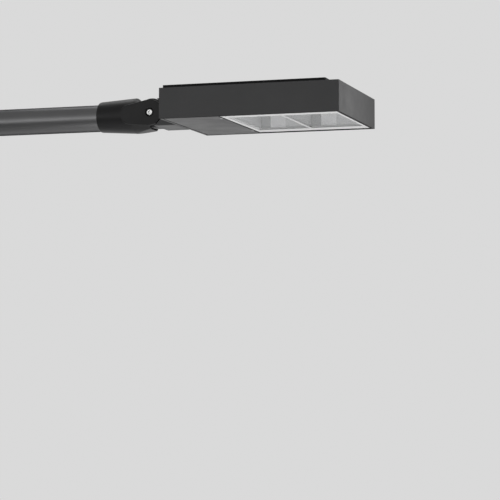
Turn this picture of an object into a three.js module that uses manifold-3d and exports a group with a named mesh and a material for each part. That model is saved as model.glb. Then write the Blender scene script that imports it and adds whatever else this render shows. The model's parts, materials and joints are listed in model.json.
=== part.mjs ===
// Solar street lamp: a flat box head with a solar module on its lid, held by a tilting slip fitter on
// a short arm tube with a mast plate. Units are millimetres, +Z is up, +X runs from the mast to the
// head, and the origin is the centre of the mast plate's back face, on the arm tube's axis.
import * as THREE from 'three';
import { mergeVertices } from 'three/addons/utils/BufferGeometryUtils.js';
import Module from 'manifold-3d';

const wasm = await Module();
wasm.setup();

// ---- Driving dimensions ----------------------------------------------------------------------
const GAP = 0.3; // between pieces that touch

// Head: x from its end wall, z from its underside
const HEAD_START = 500; // mast face to the head's end wall
const HEAD_DROP = 27.5; // arm axis to the head's underside
const HEAD_LENGTH = 400;
const HEAD_WIDTH = 315;
const HEAD_HEIGHT = 66;
const WALL = 3.5;
const HALF = HEAD_WIDTH / 2;
const CEILING = HEAD_HEIGHT - WALL;

// Arm and mast plate
const ARM_R = 30.15; // 60.3 mm tube, the common side-entry spigot
const ARM_WALL = 3;
const PLATE_SIDE = 150;
const PLATE_CORNER_R = 10;
const PLATE_THICK = 10;
const PLATE_HOLE_PITCH = 110;
const PLATE_HOLE_R = 7;

// Tilt pivot, neck and fitter: x and z from the pivot unless said otherwise
const PIVOT_BACK = 69.5; // head's end wall to the tilt pivot
const PIVOT_UP = 33; // head's underside to the tilt pivot
const TUBE_END = HEAD_START - PIVOT_BACK - 42;
const TONGUE_R = 33;
const TONGUE_HALF = 16.4;
const EAR_R = 29;
const EAR_INNER = 17;
const EAR_ROOT_X = -46.5; // where the ear's straight edges leave the cone
const EAR_ROOT_HALF = 22;
const EAR_TAIL_X = -67; // where the pad ends on the cone
const THROAT_R = 35;
const FLOOR_TIP_X = -0.5;
const FLOOR_TIP_Z = -TONGUE_R - 3.5;
const FLOOR_THICK = 10;
const FITTER_MOUTH_X = -127.5;
const FITTER_MOUTH_R = 34.6;
const FITTER_LIP = 5; // length of the rounded lip at the mouth
const FITTER_LIP_DROP = 2;
const FITTER_SHOULDER_X = -38.5;
const FITTER_SHOULDER_R = 40;
const FITTER_RISE = 2; // fitter axis above the arm axis
const FITTER_BORE_R = 32;
const FITTER_BORE_RISE = 1.5;
const ARM_Z = HEAD_DROP - PIVOT_UP; // arm axis seen from the pivot
const AXIS_Z = ARM_Z + FITTER_RISE; // fitter axis seen from the pivot
const BORE_Z = ARM_Z + FITTER_BORE_RISE;
const FLAT_START_X = -66.5; // the side flats run out into the cone here
const FLAT_START_Y = 37.9;
const FLAT_SLOPE = 0.094; // the ears get thinner towards the pivot
const BOLT_R = 4;
const BOLT_HEAD_R = 6.5;
const BOLT_HEAD_LENGTH = 8;
const BOLT_END_Y = 29.5;
const BOLT_HOLE_R = 4.3;
const COUNTERBORE_R = 9.2;
const COUNTERBORE_FLOOR = 21;
const WASHER_R = 8;
const WASHER_THICK = 1.5;
const NUT_R = 7.5; // M8 nut, 13 mm across its flats
const NUT_LENGTH = 6.5;
const NUT_POCKET_FLOOR = 22;
const SET_SCREW_X = [-95, -58];
const SET_SCREW_R = 4;
const SET_SCREW_LENGTH = 7.5;
const NECK_WIDTH = 93;
const NECK_HEIGHT = 61;
const NECK_ARC_R = 36; // concave end of the neck, round the pivot
const NECK_POCKET = [-26, 24, 7]; // start in x, half width and margin of the pocket behind the gasket
const NECK_SCREW_Y = 34;
const NECK_SCREW_Z = [20, 47];
const NECK_SCREW_R = 3;
const GASKET_THICK = 1.2;

// Housing: a gear bay at the arm end and an optics bay beyond the partition
const RIM_SIDE = 8; // rim beside the cover and the window
const RECESS_HALF = HALF - RIM_SIDE + GAP;
const GEAR_LEDGE_Z = 5.3;
const WINDOW_LEDGE_Z = 7.6;
const LEDGE_TOP = 10;
const GEAR_OPENING = [20.3, 118, 141]; // start, end and half width
const WINDOW_OPENING = [144, 384, 138];
const PARTITION = [129.5, 133.5];
const JUNCTION_OPENING = [91, 127, 2, 58]; // x range and y range of the cut in the ceiling
const GROMMET_Y = -12;
const GROMMET_Z = 44;
const GROMMET_R = 6;
const GROMMET_FLANGE_R = 8;
const GROMMET_BORE_R = 3;
const VENT_Y = -105;
const VENT_Z = 36;
const VENT_R = 6;
const VENT_CAP_R = 9;
const VENT_CAP_THICK = 5;

// Gear cover and its hinge
const COVER_END = 130.5;
const COVER_SPLIT = 131.5; // middle of the seam between gear cover and window
const COVER_THICK = 2.5;
const COVER_HALF = HALF - RIM_SIDE - GAP;
const HINGE_START = 4.5; // recess that the hinge barrel turns in
const HINGE_END = 13.5;
const HINGE_X = 8.5;
const HINGE_Z = 3;
const HINGE_R = 3;
const PIN_R = 1.5;
const PIN_FROM = 143;
const PIN_TO = 155;
const COVER_SCREW_X = 126.5;
const COVER_SCREW_Y = [-110, 110];
const COVER_SCREW_R = 2;
const COVER_SCREW_HEAD_R = 3.4;
const SEAL_RING = [14.5, 122.3, 147]; // start, end and half width
const STIFFENER = [22, 116, 139];
const STIFFENER_TOP = 8;

// Window: a light frame with a bar across it, under one pane
const WINDOW_START = 133;
const WINDOW_END = 394.5;
const WINDOW_HALF = HALF - RIM_SIDE;
const WINDOW_MIDDLE = (WINDOW_START + WINDOW_END) / 2;
const WINDOW_END_BORDER = 10;
const WINDOW_SIDE_BORDER = 38;
const WINDOW_BAR = 5;
const WINDOW_SINK = 1.3; // frame's lower face above the head's underside
const FRAME_LIP = 1.2;
const FRAME_TOP = 5.8;
const PANE_OVERLAP = 6; // width of the frame's lip under the pane

// Optics: two mirror boxes, each under its own LED board
const OPTIC_START = [145.9, 264.3];
const OPTIC_LENGTH = 117.8;
const OPTIC_HALF = WINDOW_HALF - WINDOW_SIDE_BORDER + 1.1;
const OPTIC_WALL = 1.1;
const OPTIC_FOOT = 6.1;
const OPTIC_TOP = 58.2;
const LED_ROWS = [0.25, 0.75]; // as shares of the box's length
const LED_COUNT = 6;
const LED_PITCH = 36;
const LED_SIDE = 10;
const LED_THICK = 2;
const LED_HOLE = 14;
const LED_BOARD_THICK = 2;

// Solar module on the lid
const MODULE_START = 7;
const MODULE_END = 370;
const MODULE_HALF = 152.5;
const MODULE_FOOT = HEAD_HEIGHT + GAP;
const MODULE_TOP = 72.2;
const MODULE_LIP = 1;
const MODULE_BORDER = 8;
const MODULE_WALL = 3;
const GLASS_THICK = 3.2;
const GLASS_TOP = MODULE_TOP - MODULE_LIP - 0.2;
const GLASS_BOTTOM = GLASS_TOP - GLASS_THICK;

// Battery: cells side by side on a tray under the ceiling
const CELL_COUNT = 8; // lithium iron phosphate cells, 32 mm by 70 mm
const CELL_R = 16;
const CELL_LENGTH = 70;
const CELL_PITCH = 33.5;
const CELL_START = 18;
const CELL_END = CELL_START + CELL_LENGTH;
const CELL_BUTTON = 1.2;
const CELL_Z = CEILING - 3.3 - CELL_R;
const PACK_HALF = (CELL_COUNT * CELL_PITCH) / 2;
const STRAP_X = [30, 64];
const STRAP_WIDTH = 12;
const STRAP_THICK = 1;
const TRAY_THICK = 2;
const BATTERY_BOARD_X = CELL_END + 1.6;
const BOARD_THICK = 1.2;

// Charge controller, terminal block and leads
const CONTROLLER = { x0: 95, x1: 127, y0: -145, y1: -25, z0: 36, wall: 2 };
const CONTROLLER_BOARD_Z = [56, 57.6];
const TERMINAL = { x0: 98, x1: 118, y0: 88, y1: 144, z0: 48, screws: 6, pitch: 9, first: 93.5 };
const LEAD_R = 2;

// ---- Materials ---------------------------------------------------------------------------------
const finish = (color, roughness, metalness) => () =>
  new THREE.MeshStandardMaterial({ color, roughness, metalness });
const graphitePaint = finish(0x3b3b3c, 0.55, 0.2);
const blackPaint = finish(0x27282a, 0.6, 0.2);
const tubePaint = finish(0x4a4b4c, 0.45, 0.3);
const stainless = finish(0xc9cacb, 0.3, 1);
const zincSteel = finish(0x9a9c9e, 0.4, 1);
const anodised = finish(0x4b4c4e, 0.4, 0.8);
const rubber = finish(0x161616, 0.85, 0);
const panelGlass = finish(0x10151c, 0.12, 0);
const cellBlue = finish(0x101b33, 0.35, 0.2);
const clearGlass = finish(0xdfe6e6, 0.05, 0);
const lightFrame = finish(0xd9dada, 0.4, 0.3);
const mirrorFoil = finish(0xbfc1c2, 0.22, 1);
const whiteBoard = finish(0xe9e9e4, 0.5, 0);
const greenBoard = finish(0x1f5a3a, 0.5, 0);
const blackPlastic = finish(0x1c1c1d, 0.6, 0);
const greyPlastic = finish(0x8b8d8f, 0.55, 0);
const cellSleeve = finish(0x2f6f9a, 0.45, 0);
const redSleeve = finish(0x8c1f1a, 0.55, 0);

// ---- Solids ------------------------------------------------------------------------------------
const AXES = { x: 0, y: 1, z: 2 };
const FINE = 64; // sides of the large round faces
const ROUND = 48;
const SMALL = 24;
const TINY = 16;
const HEX = 6;

/** Turns a closed three.js geometry into a manifold solid. */
function solid(geometry) {
  const plain = geometry.clone();
  plain.deleteAttribute('normal');
  plain.deleteAttribute('uv');
  const merged = mergeVertices(plain, 1e-4);
  const index = merged.index.array;
  const kept = [];
  for (let i = 0; i < index.length; i += 3) {
    const [a, b, c] = [index[i], index[i + 1], index[i + 2]];
    if (a !== b && b !== c && a !== c) kept.push(a, b, c);
  }
  const vertProperties = new Float32Array(merged.attributes.position.array);
  const triVerts = new Uint32Array(kept);
  return new wasm.Manifold(new wasm.Mesh({ numProp: 3, vertProperties, triVerts }));
}

/** Turns a manifold solid back into a three.js geometry. */
function geometryOf(body) {
  const mesh = body.getMesh();
  const geometry = new THREE.BufferGeometry();
  geometry.setAttribute('position', new THREE.BufferAttribute(new Float32Array(mesh.vertProperties), 3));
  geometry.setIndex(new THREE.BufferAttribute(new Uint32Array(mesh.triVerts), 1));
  geometry.computeVertexNormals();
  return geometry;
}

/** Box between two corners. */
function block([x0, y0, z0], [x1, y1, z1]) {
  const box = new THREE.BoxGeometry(x1 - x0, y1 - y0, z1 - z0);
  box.translate((x0 + x1) / 2, (y0 + y1) / 2, (z0 + z1) / 2);
  return solid(box);
}

/** Box that is symmetric about the y = 0 plane. */
const slab = (x0, x1, halfWidth, z0, z1) => block([x0, -halfWidth, z0], [x1, halfWidth, z1]);

/** Cylinder along one axis between two stations; `at` gives the other two coordinates in order. */
function rod(axis, radius, from, to, at, sides = ROUND) {
  const cylinder = new THREE.CylinderGeometry(radius, radius, to - from, sides);
  if (axis === 'x') cylinder.rotateZ(-Math.PI / 2);
  if (axis === 'z') cylinder.rotateX(Math.PI / 2);
  const place = [at[0], at[1]];
  place.splice(AXES[axis], 0, (from + to) / 2);
  cylinder.translate(...place);
  return solid(cylinder);
}

/** Solid turned about an axis parallel to x at height z; the profile lists [x, radius] points. */
function turnedAlongX(profile, z, sides = ROUND) {
  const points = profile.map(([x, r]) => new THREE.Vector2(r, x));
  const lathe = new THREE.LatheGeometry(points, sides);
  lathe.rotateZ(-Math.PI / 2);
  lathe.translate(0, 0, z);
  return solid(lathe);
}

/** Settings of a plain straight extrusion. */
const sweep = (depth, curveSegments) => ({ depth, bevelEnabled: false, curveSegments });

/** Outline in the x-z plane, extruded between two y stations. */
function extrudedAlongY(shape, y0, y1, curveSegments = 24) {
  const extruded = new THREE.ExtrudeGeometry(shape, sweep(y1 - y0, curveSegments));
  extruded.rotateX(Math.PI / 2);
  extruded.translate(0, y1, 0);
  return solid(extruded);
}

/** Rectangle with round corners, between two corner points. */
function roundedRectangle([u0, v0], [u1, v1], radius) {
  const shape = new THREE.Shape();
  shape.moveTo(u0 + radius, v0);
  shape.lineTo(u1 - radius, v0);
  shape.absarc(u1 - radius, v0 + radius, radius, -Math.PI / 2, 0);
  shape.lineTo(u1, v1 - radius);
  shape.absarc(u1 - radius, v1 - radius, radius, 0, Math.PI / 2);
  shape.lineTo(u0 + radius, v1);
  shape.absarc(u0 + radius, v1 - radius, radius, Math.PI / 2, Math.PI);
  shape.lineTo(u0, v0 + radius);
  shape.absarc(u0 + radius, v0 + radius, radius, Math.PI, 1.5 * Math.PI);
  return shape;
}

/** Rounded rectangle in the x-y plane, extruded between two heights. */
function roundedPlate(x0, x1, halfWidth, radius, z0, z1) {
  const shape = roundedRectangle([x0, -halfWidth], [x1, halfWidth], radius);
  const extruded = new THREE.ExtrudeGeometry(shape, sweep(z1 - z0, 4));
  extruded.translate(0, 0, z0);
  return solid(extruded);
}

/** Flat ring between an outer and an inner rectangle, both symmetric about y = 0. */
function flatRing([x0, x1, halfWidth], border, z0, z1, radius = 2) {
  const outer = roundedPlate(x0, x1, halfWidth, radius, z0, z1);
  const inner = roundedPlate(x0 + border, x1 - border, halfWidth - border, radius, z0 - 1, z1 + 1);
  return outer.subtract(inner);
}

/** Round lead along a smooth curve through the given points. */
function lead(points, radius) {
  const corners = points.map((point) => new THREE.Vector3(...point));
  const path = new THREE.CatmullRomCurve3(corners, false, 'centripetal');
  const section = new THREE.Shape();
  section.absarc(0, 0, radius, 0, 2 * Math.PI);
  const steps = Math.ceil(path.getLength() / (5 * radius));
  return solid(new THREE.ExtrudeGeometry(section, { steps, extrudePath: path, curveSegments: 4 }));
}

/** Adds a named mesh to a group. */
function add(group, name, body, material) {
  const mesh = new THREE.Mesh(geometryOf(body), material());
  mesh.name = name;
  group.add(mesh);
}

const lamp = new THREE.Group();

// ---- Arm: mast plate and tube ------------------------------------------------------------------
function mastPlate() {
  const half = PLATE_SIDE / 2;
  const shape = roundedRectangle([-half, -half], [half, half], PLATE_CORNER_R);
  const square = new THREE.ExtrudeGeometry(shape, sweep(PLATE_THICK, 4));
  square.rotateY(Math.PI / 2);
  let plate = solid(square);
  for (const y of [-1, 1]) {
    for (const z of [-1, 1]) {
      const centre = [(y * PLATE_HOLE_PITCH) / 2, (z * PLATE_HOLE_PITCH) / 2];
      plate = plate.subtract(rod('x', PLATE_HOLE_R, -1, PLATE_THICK + 1, centre, SMALL));
    }
  }
  return plate;
}

function armTube() {
  const start = PLATE_THICK + GAP;
  const outer = rod('x', ARM_R, start, TUBE_END, [0, 0]);
  return outer.subtract(rod('x', ARM_R - ARM_WALL, start - 1, TUBE_END + 1, [0, 0]));
}

add(lamp, 'mast_plate', mastPlate(), tubePaint);
add(lamp, 'arm_tube', armTube(), tubePaint);

// ---- Slip fitter, drawn from the pivot: x runs towards the head, z is up ------------------------
const pivotGroup = new THREE.Group();
pivotGroup.position.set(HEAD_START - PIVOT_BACK, 0, PIVOT_UP - HEAD_DROP);
lamp.add(pivotGroup);

/** Outline of an ear and its pad on the cone: round at the pivot, tangent edges, a rounded tail. */
function earOutline() {
  const [low, high] = [AXIS_Z - EAR_ROOT_HALF, AXIS_Z + EAR_ROOT_HALF];
  const spread = (z) => Math.acos(EAR_R / Math.hypot(EAR_ROOT_X, z));
  const tangent = (z, side) => Math.atan2(z, EAR_ROOT_X) + side * spread(z);
  const shape = new THREE.Shape();
  const swell = 12;
  shape.moveTo(EAR_ROOT_X, high);
  shape.bezierCurveTo(EAR_ROOT_X - swell, high, EAR_TAIL_X, AXIS_Z + swell, EAR_TAIL_X, AXIS_Z);
  shape.bezierCurveTo(EAR_TAIL_X, AXIS_Z - swell, EAR_ROOT_X - swell, low, EAR_ROOT_X, low);
  shape.absarc(0, 0, EAR_R, tangent(low, 1), tangent(high, -1), false);
  shape.closePath();
  return shape;
}

/** The fork's floor: it ramps up from the cone's underside to just below the tongue. */
function floorOutline() {
  const foot = AXIS_Z - FITTER_SHOULDER_R;
  const inside = FITTER_SHOULDER_X - 4;
  const shape = new THREE.Shape();
  shape.moveTo(inside, foot);
  shape.lineTo(FITTER_SHOULDER_X, foot);
  shape.lineTo(FLOOR_TIP_X, FLOOR_TIP_Z);
  shape.lineTo(FLOOR_TIP_X, FLOOR_TIP_Z + FLOOR_THICK);
  shape.lineTo(inside, AXIS_Z);
  shape.closePath();
  return shape;
}

/** Wedge that planes one side of the fitter flat; side is -1 or 1. */
function sideFlat(side) {
  const length = 120;
  const depth = 30;
  const box = new THREE.BoxGeometry(length, depth, 100);
  box.translate(length / 2 - 1, (side * depth) / 2, 0);
  box.rotateZ(-side * Math.atan(FLAT_SLOPE));
  box.translate(FLAT_START_X, side * FLAT_START_Y, 0);
  return solid(box);
}

/** Cone from the rounded mouth to the bevelled shoulder, as [x, radius] points. */
function coneProfile() {
  const shoulder = FITTER_SHOULDER_X;
  const bevel = 8;
  const profile = [[FITTER_MOUTH_X, 0]];
  for (let i = 0; i <= 4; i += 1) {
    const turn = (i * Math.PI) / 8;
    const x = FITTER_MOUTH_X + FITTER_LIP * (1 - Math.cos(turn));
    profile.push([x, FITTER_MOUTH_R - FITTER_LIP_DROP * (1 - Math.sin(turn))]);
  }
  profile.push([shoulder - 2, FITTER_SHOULDER_R - 0.1]);
  profile.push([shoulder, FITTER_SHOULDER_R - 0.5]);
  profile.push([shoulder + bevel, FITTER_SHOULDER_R - bevel + 1]);
  profile.push([shoulder + bevel, 0]);
  return profile;
}

function slipFitter() {
  const through = 50;
  const boreEnd = FITTER_SHOULDER_X - 3;
  let body = turnedAlongX(coneProfile(), AXIS_Z, FINE);
  const round = rod('x', FITTER_SHOULDER_R, FITTER_MOUTH_X, EAR_R, [0, AXIS_Z], FINE);
  body = body.add(extrudedAlongY(floorOutline(), -FLAT_START_Y, FLAT_START_Y).intersect(round));
  body = body.add(extrudedAlongY(earOutline(), -FLAT_START_Y, FLAT_START_Y));
  body = body.subtract(sideFlat(-1)).subtract(sideFlat(1));
  body = body.subtract(rod('y', THROAT_R, -EAR_INNER, EAR_INNER, [0, 0], FINE));
  body = body.subtract(slab(0, through, EAR_INNER, -through, through));
  body = body.subtract(rod('x', FITTER_BORE_R, FITTER_MOUTH_X - 1, boreEnd, [0, BORE_Z], FINE));
  body = body.subtract(rod('y', BOLT_HOLE_R, -through, through, [0, 0], SMALL));
  body = body.subtract(rod('y', COUNTERBORE_R, -through, -COUNTERBORE_FLOOR, [0, 0], ROUND));
  body = body.subtract(rod('y', NUT_R + GAP, NUT_POCKET_FLOOR, through, [0, 0], HEX));
  for (const x of SET_SCREW_X) {
    body = body.subtract(rod('z', SET_SCREW_R + GAP, AXIS_Z, through, [x, 0], SMALL));
  }
  return body;
}

function pivotBolt() {
  const headFrom = -COUNTERBORE_FLOOR - BOLT_HEAD_LENGTH - 2;
  const headTo = headFrom + BOLT_HEAD_LENGTH;
  const socketR = 3.46; // 6 mm across its flats
  const head = rod('y', BOLT_HEAD_R, headFrom, headTo, [0, 0], ROUND);
  const shank = rod('y', BOLT_R, headTo - 0.5, BOLT_END_Y, [0, 0], SMALL);
  return head.add(shank).subtract(rod('y', socketR, headFrom - 1, headFrom + 4, [0, 0], HEX));
}

function pivotWasher() {
  const inner = -COUNTERBORE_FLOOR - 0.2;
  const outer = rod('y', WASHER_R, inner - WASHER_THICK, inner, [0, 0], ROUND);
  return outer.subtract(rod('y', BOLT_R + 0.2, inner - WASHER_THICK - 1, inner + 1, [0, 0], SMALL));
}

function pivotNut() {
  const from = NUT_POCKET_FLOOR + 0.2;
  const to = from + NUT_LENGTH;
  const hex = rod('y', NUT_R, from, to, [0, 0], HEX);
  return hex.subtract(rod('y', BOLT_R + 0.2, from - 1, to + 1, [0, 0], SMALL));
}

function setScrew(x) {
  const bottom = ARM_Z + ARM_R + GAP;
  const top = bottom + SET_SCREW_LENGTH;
  const socketR = 2.3; // 4 mm across its flats
  const screw = rod('z', SET_SCREW_R, bottom, top, [x, 0], SMALL);
  return screw.subtract(rod('z', socketR, top - 4, top + 1, [x, 0], HEX));
}

add(pivotGroup, 'slip_fitter', slipFitter(), blackPaint);
SET_SCREW_X.forEach((x, i) => add(pivotGroup, `set_screw_${i + 1}`, setScrew(x), stainless));
add(pivotGroup, 'pivot_bolt', pivotBolt(), stainless);
add(pivotGroup, 'pivot_washer', pivotWasher(), blackPlastic);
add(pivotGroup, 'pivot_nut', pivotNut(), stainless);

// ---- Head, drawn from its end wall: x = 0 at the wall, z = 0 at the underside ------------------
const head = new THREE.Group();
head.position.set(HEAD_START, 0, -HEAD_DROP);
lamp.add(head);

// Neck: a block on the end wall with a tongue that sits between the fitter's ears.
const neckScrewPlaces = [];
for (const y of [-NECK_SCREW_Y, NECK_SCREW_Y]) {
  for (const z of NECK_SCREW_Z) neckScrewPlaces.push([y, z]);
}

function neck() {
  const end = -GASKET_THICK - 2 * GAP;
  const pivot = [-PIVOT_BACK, PIVOT_UP];
  let body = slab(-PIVOT_BACK, end, NECK_WIDTH / 2, 0, NECK_HEIGHT);
  body = body.subtract(rod('y', NECK_ARC_R, -NECK_WIDTH, NECK_WIDTH, pivot, FINE));
  body = body.add(slab(-PIVOT_BACK, end - 20, TONGUE_HALF, 0, NECK_HEIGHT));
  body = body.add(rod('y', TONGUE_R, -TONGUE_HALF, TONGUE_HALF, pivot, FINE));
  body = body.subtract(rod('y', BOLT_HOLE_R, -NECK_WIDTH, NECK_WIDTH, pivot, SMALL));
  const [pocketX, pocketHalf, margin] = NECK_POCKET;
  body = body.subtract(slab(pocketX, 1, pocketHalf, margin, NECK_HEIGHT - margin));
  for (const place of neckScrewPlaces) {
    body = body.subtract(rod('x', NECK_SCREW_R + GAP, -22, 1, place, TINY));
  }
  return body;
}

function neckGasket() {
  const end = -GAP;
  const [, pocketHalf, margin] = NECK_POCKET;
  const past = [end - GASKET_THICK - 1, end + 1];
  let body = slab(end - GASKET_THICK, end, NECK_WIDTH / 2 - 1, 1, NECK_HEIGHT - 1);
  body = body.subtract(slab(...past, pocketHalf - 2, margin + 2, NECK_HEIGHT - margin - 2));
  for (const place of neckScrewPlaces) {
    body = body.subtract(rod('x', NECK_SCREW_R + GAP, ...past, place, TINY));
  }
  return body;
}

function neckScrew(place) {
  const seat = WALL + GAP;
  const capR = 5;
  const socketR = 2.9; // 5 mm across its flats
  const shank = rod('x', NECK_SCREW_R, -20, seat + 0.5, place, TINY);
  const cap = rod('x', capR, seat, seat + 6, place, SMALL);
  return shank.add(cap).subtract(rod('x', socketR, seat + 3, seat + 8, place, HEX));
}

add(head, 'neck', neck(), graphitePaint);
add(head, 'neck_gasket', neckGasket(), rubber);
neckScrewPlaces.forEach((place, i) => add(head, `neck_screw_${i + 1}`, neckScrew(place), zincSteel));

// Housing: one casting, open below, with a gear bay at the arm end and an optics bay beyond it.
function housing() {
  let body = roundedPlate(0, HEAD_LENGTH, HALF, 2.5, 0, HEAD_HEIGHT);
  const bayHalf = HALF - WALL;
  body = body.subtract(slab(WALL, PARTITION[0], bayHalf, LEDGE_TOP, CEILING));
  body = body.subtract(slab(PARTITION[1], HEAD_LENGTH - WALL, bayHalf, LEDGE_TOP, CEILING));
  body = body.subtract(slab(HINGE_START, COVER_SPLIT, RECESS_HALF, -1, GEAR_LEDGE_Z));
  body = body.subtract(slab(HINGE_START, HINGE_END, RECESS_HALF, -1, HINGE_Z + HINGE_R + 1));
  body = body.subtract(slab(COVER_SPLIT, WINDOW_END + GAP, RECESS_HALF, -1, WINDOW_LEDGE_Z));
  for (const [x0, x1, halfWidth] of [GEAR_OPENING, WINDOW_OPENING]) {
    body = body.subtract(slab(x0, x1, halfWidth, 4, LEDGE_TOP + 1));
  }
  const [jx0, jx1, jy0, jy1] = JUNCTION_OPENING;
  body = body.subtract(block([jx0, jy0, CEILING - 1], [jx1, jy1, HEAD_HEIGHT + 1]));
  for (const place of neckScrewPlaces) {
    body = body.subtract(rod('x', NECK_SCREW_R + GAP, -1, WALL + 1, place, TINY));
  }
  for (const y of COVER_SCREW_Y) {
    body = body.subtract(rod('z', COVER_SCREW_R + 0.7, 4, LEDGE_TOP + 1, [COVER_SCREW_X, y], TINY));
  }
  body = body.subtract(rod('y', PIN_R + GAP, -PIN_TO - GAP, PIN_TO + GAP, [HINGE_X, HINGE_Z], TINY));
  const [wallFrom, wallTo] = PARTITION;
  body = body.subtract(rod('x', GROMMET_R + GAP, wallFrom - 1, wallTo + 1, [GROMMET_Y, GROMMET_Z], SMALL));
  return body.subtract(rod('x', VENT_R + GAP, -1, WALL + 1, [VENT_Y, VENT_Z], SMALL));
}

function ventPlug() {
  const stem = rod('x', VENT_R, -1, WALL + 2.5, [VENT_Y, VENT_Z], SMALL);
  const cap = rod('x', VENT_CAP_R, -VENT_CAP_THICK, -GAP, [VENT_Y, VENT_Z], SMALL);
  return stem.add(cap);
}

function leadGrommet() {
  const at = [GROMMET_Y, GROMMET_Z];
  const [from, to] = [PARTITION[0] - 2, PARTITION[1] + 2];
  let body = rod('x', GROMMET_R, from, to, at, SMALL);
  body = body.add(rod('x', GROMMET_FLANGE_R, from, PARTITION[0] - GAP, at, SMALL));
  body = body.add(rod('x', GROMMET_FLANGE_R, PARTITION[1] + GAP, to, at, SMALL));
  return body.subtract(rod('x', GROMMET_BORE_R, from - 1, to + 1, at, SMALL));
}

add(head, 'housing', housing(), graphitePaint);
add(head, 'vent_plug', ventPlug(), blackPlastic);
add(head, 'lead_grommet', leadGrommet(), rubber);

// Solar module on the lid: a low frame round a glass pane, with the cells under the glass.
function solarFrame() {
  const outer = roundedPlate(MODULE_START, MODULE_END, MODULE_HALF, 3, MODULE_FOOT, MODULE_TOP);
  const inside = (inset) => [MODULE_START + inset, MODULE_END - inset, MODULE_HALF - inset];
  const pocket = slab(...inside(MODULE_WALL), MODULE_FOOT - 1, MODULE_TOP - MODULE_LIP);
  const view = slab(...inside(MODULE_BORDER), MODULE_FOOT - 1, MODULE_TOP + 1);
  return outer.subtract(pocket).subtract(view);
}

function moduleSheet(z0, z1) {
  const inset = MODULE_WALL + GAP;
  return slab(MODULE_START + inset, MODULE_END - inset, MODULE_HALF - inset, z0, z1);
}

function junctionBox() {
  const [x0, x1, y0, y1] = JUNCTION_OPENING;
  return block([x0 + 2, y0 + 2, HEAD_HEIGHT - 18], [x1 - 2, y1 - 2, MODULE_FOOT]);
}

add(head, 'solar_frame', solarFrame(), anodised);
add(head, 'solar_glass', moduleSheet(GLASS_BOTTOM, GLASS_TOP), panelGlass);
add(head, 'solar_cells', moduleSheet(MODULE_FOOT + GAP, GLASS_BOTTOM - 0.2), cellBlue);
add(head, 'junction_box', junctionBox(), blackPlastic);

// Battery: eight cells side by side under a tray on the ceiling, held up by two straps.
function batteryTray() {
  const top = CEILING - GAP;
  const lipStart = CELL_START - 3;
  const deck = slab(lipStart, CELL_END, PACK_HALF + 3, top - TRAY_THICK, top);
  const lip = slab(lipStart, lipStart + TRAY_THICK, PACK_HALF + 3, CELL_Z - 6, top - 1);
  return deck.add(lip);
}

function batteryCell(index) {
  const y = (index - (CELL_COUNT - 1) / 2) * CELL_PITCH;
  const buttonR = 5;
  const can = rod('x', CELL_R, CELL_START, CELL_END, [y, CELL_Z], SMALL);
  return can.add(rod('x', buttonR, CELL_END - 0.5, CELL_END + CELL_BUTTON, [y, CELL_Z], TINY));
}

function batteryStrap(x) {
  const bottom = CELL_Z - CELL_R - GAP;
  const top = CEILING - TRAY_THICK - 2 * GAP;
  const half = PACK_HALF + 1;
  const outer = slab(x, x + STRAP_WIDTH, half + STRAP_THICK, bottom - STRAP_THICK, top);
  return outer.subtract(slab(x - 1, x + STRAP_WIDTH + 1, half, bottom, top + 1));
}

function batteryBoard() {
  return slab(BATTERY_BOARD_X, BATTERY_BOARD_X + BOARD_THICK, 130, 34, 52);
}

add(head, 'battery_tray', batteryTray(), zincSteel);
for (let i = 0; i < CELL_COUNT; i += 1) add(head, `battery_cell_${i + 1}`, batteryCell(i), cellSleeve);
STRAP_X.forEach((x, i) => add(head, `battery_strap_${i + 1}`, batteryStrap(x), zincSteel));
add(head, 'battery_board', batteryBoard(), greenBoard);

// Charge controller and terminal block, between the battery and the optics bay.
function controllerCase() {
  const { x0, x1, y0, y1, z0, wall } = CONTROLLER;
  const top = CEILING - GAP;
  const shell = block([x0, y0, z0], [x1, y1, top]);
  return shell.subtract(block([x0 + wall, y0 + wall, z0 + wall], [x1 - wall, y1 - wall, top + 1]));
}

/** Board with a coil, a capacitor and a chip hanging from it. */
function controllerBoard() {
  const { x0, x1, y0, y1, wall } = CONTROLLER;
  const [bottom, top] = CONTROLLER_BOARD_Z;
  const inset = wall + 0.5;
  const into = bottom + 0.5;
  const board = block([x0 + inset, y0 + inset, bottom], [x1 - inset, y1 - inset, top]);
  const coil = rod('z', 8, bottom - 10, into, [(x0 + x1) / 2, y0 + 25], SMALL);
  const capacitor = rod('z', 5, bottom - 14, into, [(x0 + x1) / 2, y0 + 50], TINY);
  const chip = block([x0 + 8, y1 - 40, bottom - 3], [x1 - 8, y1 - 24, into]);
  return board.add(coil).add(capacitor).add(chip);
}

function terminalBlock() {
  const { x0, x1, y0, y1, z0, screws, pitch, first } = TERMINAL;
  let body = block([x0, y0, z0], [x1, y1, CEILING - GAP]);
  for (let i = 0; i < screws; i += 1) {
    body = body.subtract(rod('z', 2.2, z0 - 2, z0 + 8, [(x0 + x1) / 2, first + pitch * i], TINY));
  }
  return body;
}

add(head, 'controller_case', controllerCase(), greyPlastic);
add(head, 'controller_board', controllerBoard(), greenBoard);
add(head, 'terminal_block', terminalBlock(), blackPlastic);

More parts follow.
